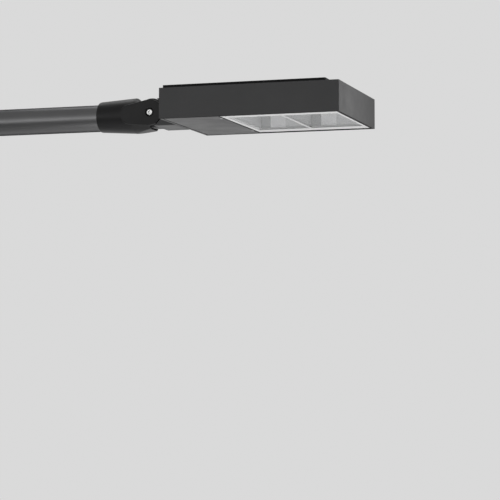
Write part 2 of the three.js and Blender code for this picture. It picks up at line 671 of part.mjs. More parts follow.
// Leads inside the head.
const caseSide = CONTROLLER.y1 + GAP;
const solarLead = [[103, 3.7, 54], [102.5, -3, 53], [102, -10, 50.5], [102, -17, 49], [102, caseSide, 49]];
const batteryLead = [
  [BATTERY_BOARD_X + 1.6, 45, 38],
  [BATTERY_BOARD_X + 5, 45, 38],
  [100, 44, 37.5],
  [107, 38, 36],
  [111, 25, 36],
  [112, 10, 37],
  [112, -5, 39],
  [112, -16, 41],
  [112, caseSide, 42],
];
const ledLead = [
  [121, caseSide, 44],
  [121.5, -20, 44],
  [123.5, -14, 44],
  [127, GROMMET_Y, GROMMET_Z],
  [131.5, GROMMET_Y, GROMMET_Z],
  [136, GROMMET_Y, GROMMET_Z + 0.3],
  [139.5, GROMMET_Y, 48],
  [140, GROMMET_Y, 54],
  [141.5, GROMMET_Y, 59],
  [145, GROMMET_Y, 59.6],
];
add(head, 'solar_lead', lead(solarLead, LEAD_R), blackPlastic);
add(head, 'battery_lead', lead(batteryLead, LEAD_R), redSleeve);
add(head, 'led_lead', lead(ledLead, LEAD_R), blackPlastic);

// Optics: two deep mirror boxes, each under its own LED board, over one pane.
/** Centres of the LEDs over the box that starts at x. */
function ledPlaces(x) {
  const stations = Array.from({ length: LED_COUNT }, (_, i) => (i - (LED_COUNT - 1) / 2) * LED_PITCH);
  return LED_ROWS.flatMap((row) => stations.map((y) => [x + row * OPTIC_LENGTH, y]));
}

/** Square block of one size round a centre, between two heights. */
function squareAt([cx, cy], side, z0, z1) {
  return block([cx - side / 2, cy - side / 2, z0], [cx + side / 2, cy + side / 2, z1]);
}

function reflector(x) {
  const end = x + OPTIC_LENGTH;
  let body = slab(x, end, OPTIC_HALF, OPTIC_FOOT, OPTIC_TOP);
  const inside = [x + OPTIC_WALL, end - OPTIC_WALL, OPTIC_HALF - OPTIC_WALL];
  body = body.subtract(slab(...inside, 0, OPTIC_TOP - OPTIC_WALL));
  for (const place of ledPlaces(x)) {
    body = body.subtract(squareAt(place, LED_HOLE, OPTIC_TOP - 3, OPTIC_TOP + 1));
  }
  return body;
}

function ledBoard(x) {
  const top = CEILING - GAP;
  const bottom = top - LED_BOARD_THICK + GAP;
  let body = slab(x + 2, x + OPTIC_LENGTH - 2, OPTIC_HALF - 3, bottom, top);
  for (const place of ledPlaces(x)) {
    body = body.add(squareAt(place, LED_SIDE, bottom - LED_THICK, bottom + 0.5));
  }
  return body;
}

OPTIC_START.forEach((x, i) => {
  add(head, `led_board_${i + 1}`, ledBoard(x), whiteBoard);
  add(head, `reflector_${i + 1}`, reflector(x), mirrorFoil);
});

// Window: a light frame round a flat pane, set just inside the underside on a seal.
const cellHalf = WINDOW_HALF - WINDOW_SIDE_BORDER;
const viewStart = WINDOW_START + WINDOW_END_BORDER;
const viewEnd = WINDOW_END - WINDOW_END_BORDER;

function windowFrame() {
  let body = roundedPlate(WINDOW_START, WINDOW_END, WINDOW_HALF, 2, WINDOW_SINK, FRAME_TOP);
  const views = [
    [viewStart, WINDOW_MIDDLE - WINDOW_BAR / 2],
    [WINDOW_MIDDLE + WINDOW_BAR / 2, viewEnd],
  ];
  for (const [from, to] of views) body = body.subtract(slab(from, to, cellHalf, 0, FRAME_TOP + 1));
  const overlap = PANE_OVERLAP;
  const rebate = [viewStart - overlap, viewEnd + overlap, cellHalf + overlap];
  return body.subtract(slab(...rebate, WINDOW_SINK + FRAME_LIP, FRAME_TOP + 1));
}

function windowGlass() {
  const overlap = PANE_OVERLAP - GAP;
  const bottom = WINDOW_SINK + FRAME_LIP + GAP;
  return slab(viewStart - overlap, viewEnd + overlap, cellHalf + overlap, bottom, FRAME_TOP - 0.2);
}

function windowSeal() {
  const ring = [WINDOW_START + 1, WINDOW_END - 1, WINDOW_HALF - 1];
  return flatRing(ring, 9, FRAME_TOP + GAP, WINDOW_LEDGE_Z - GAP);
}

add(head, 'window_frame', windowFrame(), lightFrame);
add(head, 'window_glass', windowGlass(), clearGlass);
add(head, 'window_seal', windowSeal(), rubber);

// Gear cover: a flush plate that hangs from a hinge at the arm end and closes with two screws.
function gearCover() {
  const hinge = [HINGE_X, HINGE_Z];
  const bossR = COVER_SCREW_HEAD_R + 0.4;
  let body = slab(HINGE_X, COVER_END, COVER_HALF, 0, COVER_THICK);
  body = body.add(rod('y', HINGE_R, -COVER_HALF, COVER_HALF, hinge, SMALL));
  body = body.add(flatRing(STIFFENER, COVER_THICK, COVER_THICK - 0.5, STIFFENER_TOP));
  for (const y of COVER_SCREW_Y) {
    const at = [COVER_SCREW_X, y];
    body = body.add(rod('z', bossR, COVER_THICK - 0.5, GEAR_LEDGE_Z - GAP, at, SMALL));
    body = body.subtract(rod('z', bossR - 0.1, -1, 1.9, at, SMALL));
    body = body.subtract(rod('z', COVER_SCREW_R + GAP, 1, GEAR_LEDGE_Z, at, TINY));
  }
  body = body.subtract(rod('y', PIN_R + GAP, PIN_FROM - 1, HALF, hinge, TINY));
  return body.subtract(rod('y', PIN_R + GAP, -HALF, 1 - PIN_FROM, hinge, TINY));
}

function coverSeal() {
  return flatRing(SEAL_RING, 4, COVER_THICK + 0.2, GEAR_LEDGE_Z - GAP);
}

function coverScrew(y) {
  const at = [COVER_SCREW_X, y];
  const socketR = 1.6;
  const cap = rod('z', COVER_SCREW_HEAD_R, 0.2, 1.7, at, SMALL);
  const shank = rod('z', COVER_SCREW_R, 1.5, 10.5, at, TINY);
  return cap.add(shank).subtract(rod('z', socketR, -1, 1.2, at, HEX));
}

function hingePin(side) {
  const [from, to] = side > 0 ? [PIN_FROM, PIN_TO] : [-PIN_TO, -PIN_FROM];
  return rod('y', PIN_R, from, to, [HINGE_X, HINGE_Z], TINY);
}

add(head, 'gear_cover', gearCover(), graphitePaint);
add(head, 'cover_seal', coverSeal(), rubber);
COVER_SCREW_Y.forEach((y, i) => add(head, `cover_screw_${i + 1}`, coverScrew(y), stainless));
[-1, 1].forEach((side, i) => add(head, `hinge_pin_${i + 1}`, hingePin(side), stainless));

export default lamp;
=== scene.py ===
"""Solar street lamp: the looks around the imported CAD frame. Metres, +X from mast to head, +Z up."""
import json
import math

import bmesh
import bpy
from mathutils import Matrix, Vector


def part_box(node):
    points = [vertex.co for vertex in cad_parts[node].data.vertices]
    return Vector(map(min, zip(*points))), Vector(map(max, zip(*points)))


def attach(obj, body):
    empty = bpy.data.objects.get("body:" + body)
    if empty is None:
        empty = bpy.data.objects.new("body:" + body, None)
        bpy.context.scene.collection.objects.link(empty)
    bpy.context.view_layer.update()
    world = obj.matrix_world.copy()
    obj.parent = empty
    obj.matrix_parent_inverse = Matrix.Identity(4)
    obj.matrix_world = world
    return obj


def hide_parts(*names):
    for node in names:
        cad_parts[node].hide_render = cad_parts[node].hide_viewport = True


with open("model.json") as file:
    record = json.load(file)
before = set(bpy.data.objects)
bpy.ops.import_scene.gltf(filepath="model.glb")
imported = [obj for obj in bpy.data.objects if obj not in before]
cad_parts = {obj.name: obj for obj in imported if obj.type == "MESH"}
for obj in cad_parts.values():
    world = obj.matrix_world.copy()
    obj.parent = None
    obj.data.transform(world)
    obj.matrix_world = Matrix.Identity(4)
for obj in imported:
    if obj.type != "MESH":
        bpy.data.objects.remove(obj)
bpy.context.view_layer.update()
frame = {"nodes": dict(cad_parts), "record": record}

MM = 0.001
RECORD = frame["record"]
BODY_OF = {node: body for body, nodes in RECORD["behaviour"]["bodies"].items() for node in nodes}
SLOT_OF = {part["node"]: part["material_slot"] for part in RECORD["subparts"]}

HEAD_LOW, HEAD_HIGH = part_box("housing")

GAP = 0.1 * MM # clearances that keep neighbouring pieces apart
HAIR = 0.05 * MM
FILM = 0.02 * MM


# ---- Materials ---------------------------------------------------------------------------------
NOISE_LOW, NOISE_HIGH = 0.3, 0.7 # the range that most of a noise's values lie in
MIX_FACTOR, MIX_FIRST, MIX_SECOND = 0, 6, 7 # inputs of the Mix node in its colour mode
MIX_COLOR = 2 # its output in that mode


class Look:
    """A node material around one Principled shader."""

    def __init__(self, name, color, roughness, metallic=0.0, **sockets):
        self.material = bpy.data.materials.new(name)
        self.material.use_nodes = True
        self.nodes = self.material.node_tree.nodes
        self.links = self.material.node_tree.links
        self.shader = self.nodes["Principled BSDF"]
        self.color = color
        self.roughness = roughness
        self.shader.inputs["Base Color"].default_value = (*color, 1.0)
        self.shader.inputs["Roughness"].default_value = roughness
        self.shader.inputs["Metallic"].default_value = metallic
        for socket, value in sockets.items():
            self.shader.inputs[socket.replace("_", " ")].default_value = value
        self.place = self.nodes.new("ShaderNodeTexCoord").outputs["Object"]

    def noise(self, scale, detail, stretch=(1, 1, 1)):
        """Noise over the piece, scale in cycles a metre."""
        mapping = self.nodes.new("ShaderNodeMapping")
        mapping.inputs["Scale"].default_value = stretch
        self.links.new(self.place, mapping.inputs["Vector"])
        texture = self.nodes.new("ShaderNodeTexNoise")
        texture.inputs["Scale"].default_value = scale
        texture.inputs["Detail"].default_value = detail
        self.links.new(mapping.outputs["Vector"], texture.inputs["Vector"])
        return texture.outputs["Fac"]

    def tint(self, factor, amount):
        """Base colour varies by amount either way with factor."""
        mix = self.nodes.new("ShaderNodeMix")
        mix.data_type = "RGBA"
        darker = [c * (1 - amount) for c in self.color]
        lighter = [min(1, c * (1 + amount)) for c in self.color]
        mix.inputs[MIX_FIRST].default_value = (*darker, 1.0)
        mix.inputs[MIX_SECOND].default_value = (*lighter, 1.0)
        self.links.new(factor, mix.inputs[MIX_FACTOR])
        self.links.new(mix.outputs[MIX_COLOR], self.shader.inputs["Base Color"])

    def rough(self, factor, amount):
        """Roughness varies by amount either way with a noise."""
        ranges = self.nodes.new("ShaderNodeMapRange")
        ranges.inputs["From Min"].default_value = NOISE_LOW
        ranges.inputs["From Max"].default_value = NOISE_HIGH
        ranges.inputs["To Min"].default_value = self.roughness - amount
        ranges.inputs["To Max"].default_value = self.roughness + amount
        self.links.new(factor, ranges.inputs["Value"])
        self.links.new(ranges.outputs["Result"], self.shader.inputs["Roughness"])

    def bump(self, height, depth, strength):
        """Relief of the given depth in metres."""
        bump = self.nodes.new("ShaderNodeBump")
        bump.inputs["Distance"].default_value = depth
        bump.inputs["Strength"].default_value = strength
        previous = self.shader.inputs["Normal"].links
        if previous:
            self.links.new(previous[0].from_socket, bump.inputs["Normal"])
        self.links.new(height, bump.inputs["Height"])
        self.links.new(bump.outputs["Normal"], self.shader.inputs["Normal"])

    def stripes(self, axis, pitch, width):
        """1 inside thin lines of that width and pitch across an axis, else 0."""
        split = self.nodes.new("ShaderNodeSeparateXYZ")
        self.links.new(self.place, split.inputs["Vector"])
        wave = self.nodes.new("ShaderNodeMath")
        wave.operation = "PINGPONG"
        wave.inputs[1].default_value = pitch / 2
        self.links.new(split.outputs[axis], wave.inputs[0])
        line = self.nodes.new("ShaderNodeMath")
        line.operation = "LESS_THAN"
        line.inputs[1].default_value = width / 2
        self.links.new(wave.outputs[0], line.inputs[0])
        return line.outputs[0]

    def paint_over(self, factor, color):
        """Covers the tinted base colour with another where factor is 1."""
        mix = self.nodes.new("ShaderNodeMix")
        mix.data_type = "RGBA"
        socket = self.shader.inputs["Base Color"]
        self.links.new(socket.links[0].from_socket, mix.inputs[MIX_FIRST])
        mix.inputs[MIX_SECOND].default_value = (*color, 1.0)
        self.links.new(factor, mix.inputs[MIX_FACTOR])
        self.links.new(mix.outputs[MIX_COLOR], socket)


def powder_coat(name, color, roughness, specular):
    """Fine orange-peel paint with faint cloudiness."""
    look = Look(name, color, roughness, Specular_IOR_Level=specular)
    look.tint(look.noise(14, 2), 0.08)
    look.rough(look.noise(25, 3), 0.04)
    look.bump(look.noise(1500, 2), 0.03 * MM, 0.35)
    look.bump(look.noise(220, 2), 0.06 * MM, 0.12)
    return look.material


def metal(name, color, roughness, grain=(1, 1, 1), depth=0.006 * MM):
    """Bare metal with a directional or even grain."""
    look = Look(name, color, roughness, 1.0)
    look.tint(look.noise(60, 3), 0.06)
    look.rough(look.noise(900, 3, grain), 0.06)
    look.bump(look.noise(1600, 2, grain), depth, 0.5)
    return look.material


def plastic(name, color, roughness, grain=900, depth=0.02 * MM, specular=0.5):
    """Moulded plastic or rubber with a fine spark-eroded grain."""
    look = Look(name, color, roughness, Specular_IOR_Level=specular)
    look.tint(look.noise(30, 3), 0.07)
    look.rough(look.noise(120, 3), 0.05)
    look.bump(look.noise(grain, 3), depth, 0.5)
    return look.material


def solar_cell():
    """Dark blue silicon with fine silver fingers and slow colour drift from cell to cell."""
    finger_pitch, finger_width = 1.8 * MM, 0.16 * MM
    look = Look("solar_cell", (0.008, 0.014, 0.036), 0.28, Specular_IOR_Level=0.4)
    look.tint(look.noise(18, 2), 0.35)
    look.paint_over(look.stripes("Y", finger_pitch, finger_width), (0.13, 0.14, 0.16))
    look.rough(look.noise(200, 2), 0.05)
    return look.material


def circuit_board(name, color):
    """Solder mask over faint copper tracks."""
    track_pitch, track_width = 5 * MM, 0.5 * MM
    track_color = [1.7 * c for c in color]
    look = Look(name, color, 0.42)
    look.tint(look.noise(70, 2), 0.2)
    look.paint_over(look.stripes("Y", track_pitch, track_width), track_color)
    look.bump(look.noise(700, 2), 0.01 * MM, 0.4)
    return look.material


def lens_glass():
    """Clear glass with a faint waviness."""
    look = Look("lens", (0.97, 0.97, 0.97), 0.0, Transmission_Weight=1.0, IOR=1.46)
    look.bump(look.noise(6, 1), 0.02 * MM, 0.2)
    return look.material


def coated_glass(name, color, opacity):
    """Anti-reflective pane: see-through, with a weak gloss and a faint waviness."""
    look = Look(name, color, 0.05, Alpha=opacity)
    look.tint(look.noise(8, 2), 0.05)
    look.bump(look.noise(6, 1), 0.02 * MM, 0.2)
    return look.material


def satin_tube():
    """Dark satin metal with a fine drawn grain, dull at grazing angles."""
    edge_tint = (0.02, 0.02, 0.02, 1.0)
    look = Look("tube_paint", (0.21, 0.21, 0.213), 0.34, 1.0, Specular_Tint=edge_tint)
    look.tint(look.noise(20, 2), 0.06)
    look.rough(look.noise(300, 3, (0.06, 1, 1)), 0.03)
    look.bump(look.noise(900, 2, (0.05, 1, 1)), 0.01 * MM, 0.4)
    return look.material


def mirror_coat():
    """Vacuum-metallised reflector wall, slightly hazy."""
    look = Look("mirror_coat", (0.66, 0.66, 0.67), 0.35, 0.3)
    look.tint(look.noise(25, 2), 0.02)
    look.rough(look.noise(90, 2), 0.03)
    look.bump(look.noise(40, 1), 0.01 * MM, 0.3)
    return look.material


def painted_shade_coat(shade):
    """Mirror coat on one panel of a folded wall, with painted shade: its base colour is made lighter or
    darker to stand in for the light that the panel's angle would catch.
    """
    color = (shade, shade, shade * 1.01)
    look = Look(f"painted_shade_coat_{round(100 * shade)}", color, 0.4, 0.2)
    look.tint(look.noise(25, 2), 0.02)
    look.bump(look.noise(40, 1), 0.01 * MM, 0.3)
    return look.material


MATERIALS = {
    "graphite_paint": powder_coat("graphite_paint", (0.066, 0.066, 0.067), 0.45, 0.20),
    "fitter_paint": powder_coat("fitter_paint", (0.0095, 0.0095, 0.010), 0.42, 0.35),
    "tube_paint": satin_tube(),
    "stainless": metal("stainless", (0.94, 0.94, 0.93), 0.28, depth=0.001 * MM),
    "zinc_steel": metal("zinc_steel", (0.42, 0.43, 0.44), 0.34, (1, 0.05, 1)),
    "module_frame": powder_coat("module_frame", (0.007, 0.007, 0.008), 0.5, 0.15),
    "module_glass": coated_glass("module_glass", (0.05, 0.06, 0.08), 0.16),
    "solar_cell": solar_cell(),
    "rubber": plastic("rubber", (0.008, 0.008, 0.008), 0.75, 700, 0.03 * MM, 0.15),
    "black_plastic": plastic("black_plastic", (0.016, 0.016, 0.017), 0.5),
    "grey_plastic": plastic("grey_plastic", (0.28, 0.29, 0.30), 0.5),
    "cell_sleeve": plastic("cell_sleeve", (0.020, 0.12, 0.30), 0.3, 90, 0.05 * MM),
    "circuit_board": circuit_board("circuit_board", (0.015, 0.10, 0.045)),
    "white_board": circuit_board("white_board", (0.80, 0.80, 0.77)),
    "black_cable": plastic("black_cable", (0.018, 0.018, 0.018), 0.45, 400),
    "red_cable": plastic("red_cable", (0.38, 0.016, 0.012), 0.42, 400),
    "mirror_coat": mirror_coat(),
    "light_frame": powder_coat("light_frame", (0.70, 0.70, 0.70), 0.4, 0.5),
    "window_glass": coated_glass("window_glass", (0.80, 0.82, 0.82), 0.10),
}
BACKSHEET = plastic("backsheet", (0.010, 0.010, 0.012), 0.5)
RIBBON = metal("ribbon", (0.60, 0.60, 0.62), 0.3)
PHOSPHOR = plastic("phosphor", (0.85, 0.62, 0.10), 0.6)
LENS = lens_glass()


# ---- Mesh work ---------------------------------------------------------------------------------
WELD_DISTANCE = 0.004 * MM # vertices closer than this are one
FLAT_ANGLE = 1.0 # faces that meet within this many degrees are one
BEVEL_ANGLE = 32 # edges sharper than this many degrees are rounded
SMOOTH_ANGLE = 35 # faces that meet within this many degrees shade as one
CRISP_ANGLE = 30 # the same for turned pieces
FOLD_ANGLE = 3 # for folded sheet
WELD_ANGLE = 60 # for the weld bead
ALL_SMOOTH = 180 # for castings
ROUND_SEGMENTS = 48
THREAD_DEPTH = 0.55 # as a share of the pitch


def new_piece(name, bm, material, body, smooth_angle=SMOOTH_ANGLE):
    """Turns a bmesh into a named piece that rides on a body."""
    mesh = bpy.data.meshes.new(name)
    bm.to_mesh(mesh)
    bm.free()
    mesh.materials.append(material)
    mesh.shade_smooth()
    mesh.set_sharp_from_angle(angle=math.radians(smooth_angle))
    piece = bpy.data.objects.new(name, mesh)
    bpy.context.scene.collection.objects.link(piece)
    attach(piece, body)
    return piece


def skin(node, bm, smooth_angle=SMOOTH_ANGLE):
    """A piece in a node's own material, on the node's own body."""
    slot = SLOT_OF[node]
    return new_piece(node + "_skin", bm, MATERIALS[slot], BODY_OF[node], smooth_angle)


def add_bevel(piece, width):
    """Rounds the piece's hard edges."""
    bevel = piece.modifiers.new("edge", "BEVEL")
    bevel.width = width
    bevel.segments = 2
    bevel.limit_method = "ANGLE"
    bevel.angle_limit = math.radians(BEVEL_ANGLE)
    bevel.harden_normals = True
    bevel.use_clamp_overlap = True


def cad_copy(node):
    """A bmesh of a CAD node with its vertices merged."""
    bm = bmesh.new()
    bm.from_mesh(frame["nodes"][node].data)
    bmesh.ops.remove_doubles(bm, verts=bm.verts, dist=WELD_DISTANCE)
    return bm


def refine(node, edge):
    """The CAD node's own shape with rounded edges and smooth round faces."""
    bm = cad_copy(node)
    flat = math.radians(FLAT_ANGLE)
    bmesh.ops.dissolve_limit(bm, angle_limit=flat, verts=bm.verts, edges=bm.edges)
    piece = skin(node, bm)
    add_bevel(piece, edge)
    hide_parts(node)


def box_between(bm, low, high):
    """Adds a box between two corners to a bmesh."""
    low, high = Vector(low), Vector(high)
    matrix = Matrix.Translation((low + high) / 2) @ Matrix.Diagonal((*(high - low), 1))
    bmesh.ops.create_cube(bm, size=1, matrix=matrix)


def sorted_corners(a, b):
    """Two opposite corners put in low, high order."""
    return [min(p, q) for p, q in zip(a, b)], [max(p, q) for p, q in zip(a, b)]


def rim(bm, outer, inner, bottom, top):
    """Rectangular ring between two outlines, each given as (x0, x1, half width)."""
    box_between(bm, (outer[0], -outer[2], bottom), (inner[0], outer[2], top))
    box_between(bm, (inner[1], -outer[2], bottom), (outer[1], outer[2], top))
    box_between(bm, (inner[0], -outer[2], bottom), (inner[1], -inner[2], top))
    box_between(bm, (inner[0], inner[2], bottom), (inner[1], outer[2], top))


def lathe(bm, profile, centre, axis, segments=ROUND_SEGMENTS):
    """Adds a closed turned shape to a bmesh; profile lists (station, radius) along the axis.

    A third value of "hex" makes that ring six-sided, with the radius to its corners.
    """
    turn = {
        "X": Matrix.Rotation(math.pi / 2, 4, "Y"),
        "Y": Matrix.Rotation(-math.pi / 2, 4, "X"),
        "Z": Matrix(),
    }
    matrix = Matrix.Translation(centre) @ turn[axis]
    rings = []
    for station, radius, *shape in profile:
        if radius == 0:
            rings.append([bm.verts.new(matrix @ Vector((0, 0, station)))])
            continue
        ring = []
        for i in range(segments):
            a = 2 * math.pi * i / segments
            reach = radius
            if shape:
                reach *= math.cos(math.pi / 6) / math.cos(a % (math.pi / 3) - math.pi / 6)
            ring.append(bm.verts.new(matrix @ Vector((reach * math.cos(a), reach * math.sin(a), station))))
        rings.append(ring)
    for lower, upper in zip(rings, rings[1:]):
        for i in range(segments):
            j = (i + 1) % segments
            corners = [lower[i % len(lower)], lower[j % len(lower)]]
            corners += [upper[j % len(upper)], upper[i % len(upper)]]
            unique = list(dict.fromkeys(corners))
            if len(unique) > 2:
                bm.faces.new(unique)
    bmesh.ops.recalc_face_normals(bm, faces=bm.faces)


def thread(start, end, radius, pitch):
    """Ringed profile of a screw thread between two stations."""
    turns = max(1, int(abs(end - start) / pitch))
    step = (end - start) / turns
    root = radius - THREAD_DEPTH * pitch
    profile = []
    for i in range(turns):
        profile += [(start + i * step, root), (start + (i + 0.5) * step, radius)]
    return profile + [(end, root)]


# ---- Carried-over shapes -----------------------------------------------------------------------
EDGES = { # edge radius in mm of each bevelled copy, by its node's kind
    "mast_plate": 1.0,
    "arm_tube": 0.5,
    "neck_gasket": 0.2,
    "housing": 0.6,
    "vent_plug": 0.8,
    "lead_grommet": 0.5,
    "solar_frame": 0.4,
    "solar_glass": 0.3,
    "junction_box": 1.5,
    "battery_tray": 0.4,
    "battery_board": 0.2,
    "battery_cell": 1.2,
    "controller_case": 1.2,
    "terminal_block": 0.5,
    "led_board": 0.25,
    "reflector": 0.25,
    "window_frame": 0.4,
    "gear_cover": 0.4,
    "cover_seal": 0.5,
}
PLAIN_EDGE = 0.3 # for the kinds that aren't listed
CAST_ROUNDS = {"slip_fitter": 5, "neck": 3} # smoothing rounds of each casting
CAST_VOXEL = 0.9 * MM
SCREW_KINDS = ("set_screw", "neck_screw", "cover_screw", "hinge_pin")


def kind_of(node):
    """A node's name without its number."""
    return node.rstrip("0123456789_")


def cast(node, rounds):
    """A casting: the CAD shape with every edge and inner corner softened."""
    piece = skin(node, cad_copy(node), ALL_SMOOTH)
    remesh = piece.modifiers.new("remesh", "REMESH")
    remesh.mode = "VOXEL"
    remesh.voxel_size = CAST_VOXEL
    remesh.use_smooth_shade = True
    smooth = piece.modifiers.new("smooth", "SMOOTH")
    smooth.iterations = rounds
    smooth.factor = 0.5
    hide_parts(node)


TURNED = ["pivot_bolt", "pivot_washer", "pivot_nut"]
TURNED += [node for node in frame["nodes"] if kind_of(node) in SCREW_KINDS]
MODELLED = ["solar_cells", *CAST_ROUNDS, *TURNED]

for name in frame["nodes"]:
    if name not in MODELLED:
        refine(name, EDGES.get(kind_of(name), PLAIN_EDGE) * MM)
for name, smoothing in CAST_ROUNDS.items():
    cast(name, smoothing)


# ---- Screws, bolts and pins ------------------------------------------------------------------------
PIVOT_SHANK_R = 4 * MM
PIVOT_PITCH = 1.25 * MM
PIVOT_BORE = PIVOT_SHANK_R + 0.2 * MM
PIN_SEGMENTS = 24


def turned(node, profile, axis, centre, segments=ROUND_SEGMENTS):
    """A turned piece in place of a CAD node, with crisp edges kept sharp."""
    bm = bmesh.new()
    lathe(bm, profile, centre, axis, segments)
    piece = skin(node, bm, CRISP_ANGLE)
    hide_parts(node)


def middle(node):
    """Centre of a node's box."""
    low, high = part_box(node)
    return (low + high) / 2


def cap_profile(face, back, head_r, socket_r, socket_depth):
    """Socket head from its recessed socket out to the back of the head; stations along one axis."""
    into = 1 if back > face else -1
    edge = 0.12 * head_r
    lead_in = 0.3 * MM
    floor = face + into * socket_depth
    drill_tip = floor + into * 0.25 * socket_depth
    return [
        (drill_tip, 0),
        (floor, socket_r * 0.8, "hex"),
        (floor, socket_r, "hex"),
        (face + into * lead_in, socket_r, "hex"),
        (face, socket_r * 1.08),
        (face, head_r - 2 * edge),
        (face, head_r - edge),
        (face + into * 0.35 * edge, head_r - 0.3 * edge),
        (face + into * edge, head_r),
        (back, head_r),
    ]


def pivot_centre():
    """A point on the tilt pivot's axis, level with the origin along it."""
    centre = middle("pivot_nut")
    return centre.x, 0, centre.z


def pivot_bolt(node):
    """Socket bolt along Y, threaded where the nut sits."""
    low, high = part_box(node)
    under_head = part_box("pivot_washer")[0].y
    nut_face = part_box("pivot_nut")[0].y
    socket_r, socket_depth = 3.4 * MM, 4 * MM
    plain_end, thread_start = nut_face - 6 * MM, nut_face - 5 * MM
    chamfer = 0.8 * MM
    profile = cap_profile(low.y, under_head, (high.z - low.z) / 2, socket_r, socket_depth)
    profile += [(under_head, PIVOT_SHANK_R), (plain_end, PIVOT_SHANK_R)]
    profile += thread(thread_start, high.y - chamfer, PIVOT_SHANK_R, PIVOT_PITCH)
    profile += [(high.y, PIVOT_SHANK_R - 1.5 * chamfer), (high.y, 0)]
    turned(node, profile, "Y", pivot_centre())


def pivot_washer(node):
    """Flat washer with both outer edges broken."""
    low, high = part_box(node)
    radius = (high.z - low.z) / 2
    edge = 0.25 * MM
    ring = [
        (low.y, PIVOT_BORE),
        (low.y, radius - edge),
        (low.y + edge, radius),
        (high.y - edge, radius),
        (high.y, radius - edge),
        (high.y, PIVOT_BORE),
        (low.y, PIVOT_BORE),
    ]
    turned(node, ring, "Y", pivot_centre())


def pivot_nut(node):
    """Hexagon nut, chamfered on both faces."""
    low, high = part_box(node)
    corner = max(high.x - low.x, high.z - low.z) / 2
    flat = 0.84 * corner
    chamfer = 0.5 * MM
    outer_chamfer = 0.9 * MM
    ring = [
        (low.y, PIVOT_BORE),
        (low.y, flat),
        (low.y + chamfer, corner, "hex"),
        (high.y - outer_chamfer, corner, "hex"),
        (high.y, flat),
        (high.y, PIVOT_BORE + chamfer),
        (high.y - chamfer, PIVOT_BORE),
        (low.y, PIVOT_BORE),
    ]
    turned(node, ring, "Y", pivot_centre())


def set_screw(node):
    """Headless screw with its hexagon socket on top."""
    low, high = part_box(node)
    centre = middle(node)
    radius = (high.x - low.x) / 2
    socket_r, socket_depth, tip_depth = 2.3 * MM, 3.6 * MM, 4 * MM
    pitch = 1.0 * MM
    profile = [(low.z, 0), (low.z, 0.6 * radius)]
    profile += thread(low.z + 0.6 * MM, high.z - 0.5 * MM, radius, pitch)
    profile += [(high.z, 0.88 * radius), (high.z, socket_r, "hex")]
    profile += [(high.z - socket_depth, socket_r, "hex"), (high.z - tip_depth, 0)]
    turned(node, profile, "Z", (centre.x, centre.y, 0))


def neck_screw(node):
    """M6 socket screw from inside the head into the neck."""
    low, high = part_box(node)
    centre = middle(node)
    shank_r, pitch = 3 * MM, 1.0 * MM
    under_head = high.x - 6 * MM
    thread_start, tip = under_head - 2 * MM, low.x + 0.8 * MM
    socket_r, socket_depth = 2.8 * MM, 3 * MM
    profile = cap_profile(high.x, under_head, (high.y - low.y) / 2, socket_r, socket_depth)
    profile += [(under_head, shank_r)] + thread(thread_start, tip, shank_r, pitch)
    profile += [(low.x, 0.7 * shank_r), (low.x, 0)]
    turned(node, profile, "X", (0, centre.y, centre.z))


def cover_screw(node):
    """M4 captive screw of the gear cover, head down."""
    low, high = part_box(node)
    centre = middle(node)
    shank_r, pitch = 2 * MM, 0.7 * MM
    under_head = low.z + 1.5 * MM
    thread_start, tip = under_head + 1.5 * MM, high.z - 0.5 * MM
    socket_r, socket_depth = 1.55 * MM, 1.0 * MM
    profile = cap_profile(low.z, under_head, (high.x - low.x) / 2, socket_r, socket_depth)
    profile += [(under_head, shank_r)] + thread(thread_start, tip, shank_r, pitch)
    profile += [(high.z, 0.7 * shank_r), (high.z, 0)]
    turned(node, profile, "Z", (centre.x, centre.y, 0))


def hinge_pin(node):
    """Plain pin with its ends broken."""
    low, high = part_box(node)
    centre = middle(node)
    radius = (high.z - low.z) / 2
    edge = 0.3 * MM
    profile = [(low.y, 0), (low.y, radius - edge), (low.y + edge, radius)]
    profile += [(high.y - edge, radius), (high.y, radius - edge), (high.y, 0)]
    turned(node, profile, "Y", (centre.x, 0, centre.z), PIN_SEGMENTS)


MAKERS = {
    "pivot_bolt": pivot_bolt,
    "pivot_washer": pivot_washer,
    "pivot_nut": pivot_nut,
    "set_screw": set_screw,
    "neck_screw": neck_screw,
    "cover_screw": cover_screw,
    "hinge_pin": hinge_pin,
}
for name in TURNED:
    MAKERS[kind_of(name)](name)


# ---- Mirror boxes: folded side walls and foot flanges -------------------------------------------------
FOLDS = [(0.0, 0.4), (0.2, 4.0), (0.5, 0.4), (1.0, 4.0)] # share of the length, mm off the wall
# Painted shade of each panel: base colours made lighter or darker in place of the light that falls on the
# panels
FOLD_PAINTED_SHADES = [0.40, 0.99, 0.74]
FOLD_THICK = 0.3 * MM
PANEL_FACES = ((0, 2, 6, 4), (1, 5, 7, 3), (0, 1, 3, 2), (4, 6, 7, 5), (0, 4, 5, 1), (2, 3, 7, 6))
REFLECTOR_WALL = 1.2 * MM
FLANGE_REACH = 7 * MM
PANE_BORDER = 0.9 * MM # how far the light border stands in from the mirror boxes' outside


def fold_panel(bm, edges, side, face, foot, top):
    """One flat panel of a folded wall, between two (x, mm off the wall) edges."""
    corners = []
    for z in (foot, top):
        for x, off in edges:
            for back in (0, FOLD_THICK):
                corners.append(bm.verts.new((x, face - side * (off * MM - back), z)))
    for loop in PANEL_FACES:
        bm.faces.new([corners[i] for i in loop])


